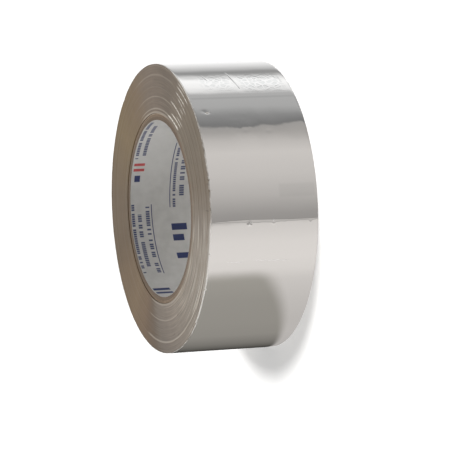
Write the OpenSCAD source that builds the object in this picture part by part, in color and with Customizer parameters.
// Roll of aluminium foil tape on a paperboard core, standing on one end face.
// Millimetres. +Z runs along the roll's axis and z = 0 is the surface that the roll stands on.
// The tape is wound as one strip, so all its turns are one solid. Where the strip slipped
// sideways while it was wound, a few turns stand out of one end face and sink into the other.

/* [Tape] */
// Width of the strip
tape_w = 48; // [24:1:96]
// Outside diameter of the full roll
roll_d = 125; // [100:1:200]
// Thickness of one turn: foil, adhesive and release paper
turn_t = 0.15; // [0.1:0.01:0.4]
// Direction of the strip's cut end, in degrees from +X towards +Y
tail_angle = 264; // [0:1:359]

/* [Winding] */
// Turns from one slipped group to the next
slip_pitch = 20; // [12:1:40]
// Turns in a slipped group of middle width
slip_turns = 4; // [2:1:6]
// Largest sideways slip of a group
slip_h = 0.3; // [0.1:0.05:1]
// How far the last turn stands out beside its cut end
lip_h = 0.6; // [0.3:0.1:2]
// Turns in the edge that stands out
lip_turns = 2; // [1:1:5]
// Arc over which the edge stands out, in degrees back from the cut end
lip_arc = 46; // [10:1:170]

/* [Core] */
// Bore of the core, which is the common 3 inch tape core
core_bore = 76.2; // [50:0.1:85]
// Thickness of the white paper ply that lines the bore
liner_t = 0.15; // [0.1:0.05:0.8]
// Wall of the brown paperboard around that ply
board_t = 2.85; // [1:0.05:5]
// How far each end of the core lies below the tape's end face
core_inset = 0.3; // [0:0.05:2]
// Bevel that the cutting knife leaves on the core's outer edges
core_bevel = 0.2; // [0.1:0.05:0.6]

/* [Hidden] */
$fn = 90;

roll_r = roll_d / 2;
bore_r = core_bore / 2;
liner_r = bore_r + liner_t;
core_r = liner_r + board_t;
core_len = tape_w - 2 * core_inset;

// The wound thickness is shared out evenly between the slipped groups. Each group then moves
// off its even place and gets its own width and slip by a sine of its number, because no two
// slips in a real roll are alike. golden keeps neighbours from repeating each other.
wound_t = roll_r - core_r;
group_count = max(1, floor(wound_t / (slip_pitch * turn_t)));
group_pitch = wound_t / group_count;
golden = 137.5;
place_scatter = 0.15;
width_scatter = 0.4;
slip_scatter = 0.35;

// How far the turns are drawn past the roll before the outline trims them
spare = 3;

function group_w(i) = turn_t * slip_turns * (1 + width_scatter * cos(2 * golden * i));
function group_r(i) =
    core_r + group_pitch * (i + 0.5 + place_scatter * sin(golden * i)) - group_w(i) / 2;
function group_slip(i) = slip_h * (1 - slip_scatter + slip_scatter * cos(golden * i));

// Outline of one end face, from the core outwards, at height z
function end_face(z, far_r) = concat(
    [[core_r, z]],
    [for (i = [0 : group_count - 1]) each [
        [group_r(i), z],
        [group_r(i), z + group_slip(i)],
        [group_r(i) + group_w(i), z + group_slip(i)],
        [group_r(i) + group_w(i), z]
    ]],
    [[far_r, z]]
);

function reversed(list) = [for (i = [len(list) - 1 : -1 : 0]) list[i]];

// All the turns as a full revolve, a little larger than the roll
module turns() {
    far_r = roll_r + spare;
    rotate_extrude()
        polygon(concat(end_face(0, far_r), reversed(end_face(tape_w, far_r))));
}

// Edge of the last turns, which slid out of the end face on the way to the cut end
module last_turn_lip() {
    inner_r = roll_r - lip_turns * turn_t;
    rotate([0, 0, tail_angle - lip_arc])
        rotate_extrude(angle = lip_arc)
            translate([inner_r, tape_w / 2])
                square([2 * spare, tape_w / 2 + lip_h]);
}

// Outline of the wound strip. The strip's outer face is a spiral, drawn as two arcs: the arc
// on one side of the cut end has its centre half a turn's thickness further back, so the
// outline steps down by exactly one turn at the cut end and is smooth everywhere else.
module wound_outline() {
    rotate(tail_angle) {
        intersection() {
            circle(r = roll_r);
            translate([-roll_d, -roll_d]) square([2 * roll_d, roll_d]);
        }
        intersection() {
            translate([-turn_t / 2, 0]) circle(r = roll_r - turn_t / 2);
            translate([-roll_d, 0]) square([2 * roll_d, roll_d]);
        }
    }
}

module tape_roll() {
    color("#c9c9c7")
        intersection() {
            union() {
                turns();
                last_turn_lip();
            }
            linear_extrude(height = tape_w + slip_h + lip_h) wound_outline();
        }
}

// Brown paperboard tube that the strip is wound on
module core() {
    color("#8a7159")
        translate([0, 0, core_inset])
            rotate_extrude()
                polygon([
                    [liner_r, 0],
                    [core_r - core_bevel, 0],
                    [core_r, core_bevel],
                    [core_r, core_len - core_bevel],
                    [core_r - core_bevel, core_len],
                    [liner_r, core_len]
                ]);
}

// White paper ply glued inside the tube
module core_liner() {
    color("#e4e4e0")
        translate([0, 0, core_inset])
            rotate_extrude()
                translate([bore_r, 0]) square([liner_t, core_len]);
}

core();
core_liner();
tape_roll();
